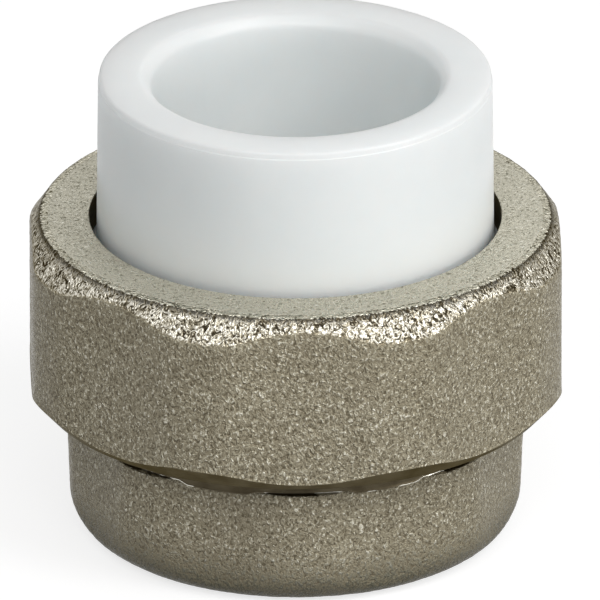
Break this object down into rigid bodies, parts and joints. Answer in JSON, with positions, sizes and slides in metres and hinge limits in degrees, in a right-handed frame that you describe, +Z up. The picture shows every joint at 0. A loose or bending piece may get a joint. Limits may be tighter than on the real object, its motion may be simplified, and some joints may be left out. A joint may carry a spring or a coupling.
{
  "type": "pipe union",
  "caption": "Straight pipe union: a white plastic fusion socket held by an eight-sided plated brass union nut on a brass tail piece with a female pipe thread.",
  "frame": {"origin": "centre of the tail piece's foot, on the pipe axis", "axes": "+Z up the pipe axis, from the threaded tail to the plastic socket; -Y is the front, where a flat of the nut and a corner of the tail face"},
  "size_m": [0.0454, 0.0454, 0.0415],
  "materials": {
    "tail_brass": "nickel plated over a fine blasted casting, turned bright at the neck and thread",
    "nut_brass": "nickel plated over a fine blasted casting, turned smooth below and inside",
    "white_plastic": "moulded, satin",
    "gasket_rubber": "matt moulded rubber"
  },
  "bodies": {
    "tail": {"threaded_tail": "tail_brass", "gasket": "gasket_rubber"},
    "socket": {"plastic_socket": "white_plastic"},
    "nut": {"union_nut": "nut_brass"}
  },
  "joints": [
    {"name": "socket_lift", "type": "slide", "parent": "tail", "child": "socket", "axis": [0, 0, 1], "range_m": [0, 0.00577]},
    {"name": "nut_turn", "type": "hinge", "parent": "socket", "child": "nut", "pos_m": [0, 0, 0.02], "axis": [0, 0, 1], "range_deg": [0, 900]}
  ],
  "couplings": [
    {"joint": "socket_lift", "follows": "nut_turn", "m_per_rad": 0.00036749}
  ]
}
